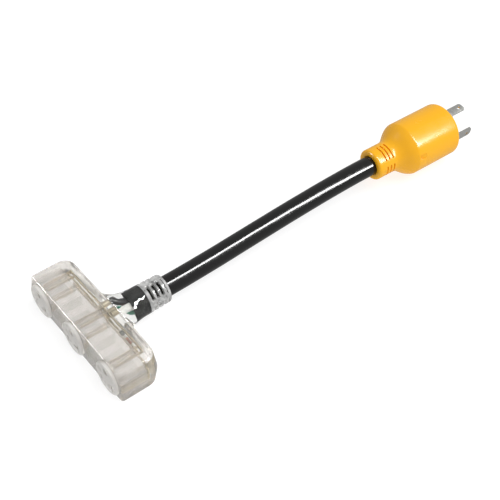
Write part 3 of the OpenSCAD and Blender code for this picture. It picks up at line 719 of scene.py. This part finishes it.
# %% Brass and nickel
brass = finish("stamped brass", (0.55, 0.47, 0.30), 0.35, Metallic=1.0)
tint(brass, place_noise(brass, 260), (0.40, 0.33, 0.21), (0.62, 0.55, 0.38))
surface(brass, (0.28, 0.46), (0.15, 0.0001), patch=400, grit=1800)
nickel = finish("nickel plate", (0.60, 0.605, 0.58), 0.3, Metallic=1.0)
tint(nickel, place_noise(nickel, 220), (0.54, 0.54, 0.51), (0.70, 0.70, 0.67))
vary(nickel, place_noise(nickel, 300), "Roughness", 0.26, 0.4)
bump(nickel, place_noise(nickel, 2600, detail=2, stretch=(0.06, 1, 1)), 0.18, 0.00008)

# %% Make them
softened("contact_holder", "contact_carrier", milky)
softened("contact_holder_cover", "carrier_cover", milky)
for side in ("left", "middle", "right"):
    softened(f"face_{side}", f"outlet_face_{side}", hazy, edge=0.0003)
for way in ("ground", "hot", "neutral"):
    softened(f"{way}_contact_strip", f"{way}_strip", brass, edge=0.0001)
    softened(f"{way}_pin", f"{way}_blade", nickel, edge=0.0003)
softened("pin_holder", "blade_carrier", yellow)

# %% [markdown]
# ## Pilot lamp
# A small lamp and its resistor sit between two strips, to show that the outlet is live. Both
# are turned shapes that lie across the block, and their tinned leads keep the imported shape.

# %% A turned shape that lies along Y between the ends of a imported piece
LAMP_SIDES = 32


def turned_in_place(name, source, profile, material):
    low, high = (Vector(corner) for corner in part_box(source))
    middle, length = (low + high) / 2, high.y - low.y
    radius = (high.z - low.z) / 2
    bm = loft(turned_rings([(x * length, r * radius) for x, r in profile], LAMP_SIDES))
    lie = Matrix.Translation((middle.x, low.y, middle.z)) @ Matrix.Rotation(math.pi / 2, 4, "Z")
    bmesh.ops.transform(bm, matrix=lie, verts=bm.verts)
    return finish_piece(name, bm, material, [source], crisp=45)


# %% Lamp, resistor and leads
lamp_glass = finish("lamp glass", (0.20, 0.22, 0.20), 0.08, IOR=1.5, Transmission_Weight=0.3)
surface(lamp_glass, (0.06, 0.14), (0.05, 0.0001), patch=500, grit=1500)
tinned = finish("tinned wire", (0.62, 0.62, 0.60), 0.3, Metallic=1.0)
surface(tinned, (0.25, 0.42), (0.15, 0.00008), patch=900, grit=3000)
resistor_coat = finish("resistor coat", (0.33, 0.12, 0.06), 0.35, IOR=1.5)
tint(resistor_coat, place_noise(resistor_coat, 500), (0.28, 0.10, 0.05), (0.37, 0.15, 0.08))
surface(resistor_coat, (0.3, 0.42), (0.1, 0.0001), patch=600, grit=2500)
bulb = [(0.30 * (1 - math.cos(a)), math.sin(a)) for a in
        (math.radians(d) for d in (10, 30, 50, 70, 90))]
bulb += [(0.85, 1.0), (0.93, 0.92), (0.98, 0.6), (1.0, 0.3)]
turned_in_place("pilot_lamp", "indicator_lamp", bulb, lamp_glass)
cap = [(0.0, 0.4), (0.02, 0.75), (0.06, 0.95), (0.12, 1.0), (0.22, 1.0), (0.28, 0.9), (0.33, 0.8)]
coat = cap + [(0.5, 0.79)] + [(1 - x, r) for x, r in reversed(cap)]
turned_in_place("lamp_dropper", "lamp_resistor", coat, resistor_coat)
softened("lamp_wires", "lamp_leads", tinned, edge=0.00005)

# %% [markdown]
# ## Studio
# The adapter lies on a pale paper sweep in a bright, even room. A soft sun from the right
# gives the plug its form. Two panels are there only for gloss: a long one draws one line of
# light on the cord, and a smaller one behind the block picks out its clear edges. They add
# nothing to matt surfaces, so they can be bright.

# %% Floor
FLOOR_HALF, FLOOR_BELOW = 30, 0.0002
bm = bmesh.new()
bmesh.ops.create_grid(bm, x_segments=1, y_segments=1, size=FLOOR_HALF)
bmesh.ops.translate(bm, verts=bm.verts, vec=(0, 0, -FLOOR_BELOW))
mesh = bpy.data.meshes.new("floor")
bm.to_mesh(mesh)
bm.free()
floor = bpy.data.objects.new("floor", mesh)
bpy.context.collection.objects.link(floor)
paper = finish("paper sweep", (0.3, 0.3, 0.3), 0.9, Emission_Color=(1, 1, 1, 1),
               Emission_Strength=0.8, Specular_IOR_Level=0.0)
vary(paper, place_noise(paper, 300), "Roughness", 0.85, 0.95)
mesh.materials.append(paper)
floor.visible_glossy = False

# %% Room, sun and panels
ROOM_LIGHT, LIT_POINT = 0.46, Vector((0, 0, 0.02))
world = bpy.data.worlds.new("room")
bpy.context.scene.world = world
world.use_nodes = True
world.node_tree.nodes["Background"].inputs["Color"].default_value = (1, 1, 1, 1)
world.node_tree.nodes["Background"].inputs["Strength"].default_value = ROOM_LIGHT


def hang(name, kind, away, distance, strength):
    """A light that faces the middle of the adapter from the direction away."""
    lamp = bpy.data.objects.new(name, bpy.data.lights.new(name, kind))
    away = Vector(away).normalized()
    lamp.data.energy = strength
    lamp.location = away * distance + LIT_POINT
    lamp.rotation_euler = away.to_track_quat("Z", "X").to_euler()
    bpy.context.collection.objects.link(lamp)
    print(f"{name}: strength {strength}, {distance} m away")
    return lamp


sun = hang("soft sun", "SUN", (0.40, -0.35, 0.85), 1.0, 2.4)
sun.data.angle = math.radians(50)
sun.visible_glossy = False
gloss = hang("gloss panel", "AREA", (0.4254, -0.5411, 0.7254), 1.2, 24)
edges = hang("edge panel", "AREA", (-0.66, 0.58, 0.48), 1.2, 14)
for lamp, wide, high in ((gloss, 1.0, 0.16), (edges, 0.5, 0.3)):
    lamp.data.shape = "RECTANGLE"
    lamp.data.size, lamp.data.size_y = wide, high
    lamp.visible_diffuse = False
bpy.context.scene.view_settings.view_transform = "Standard"
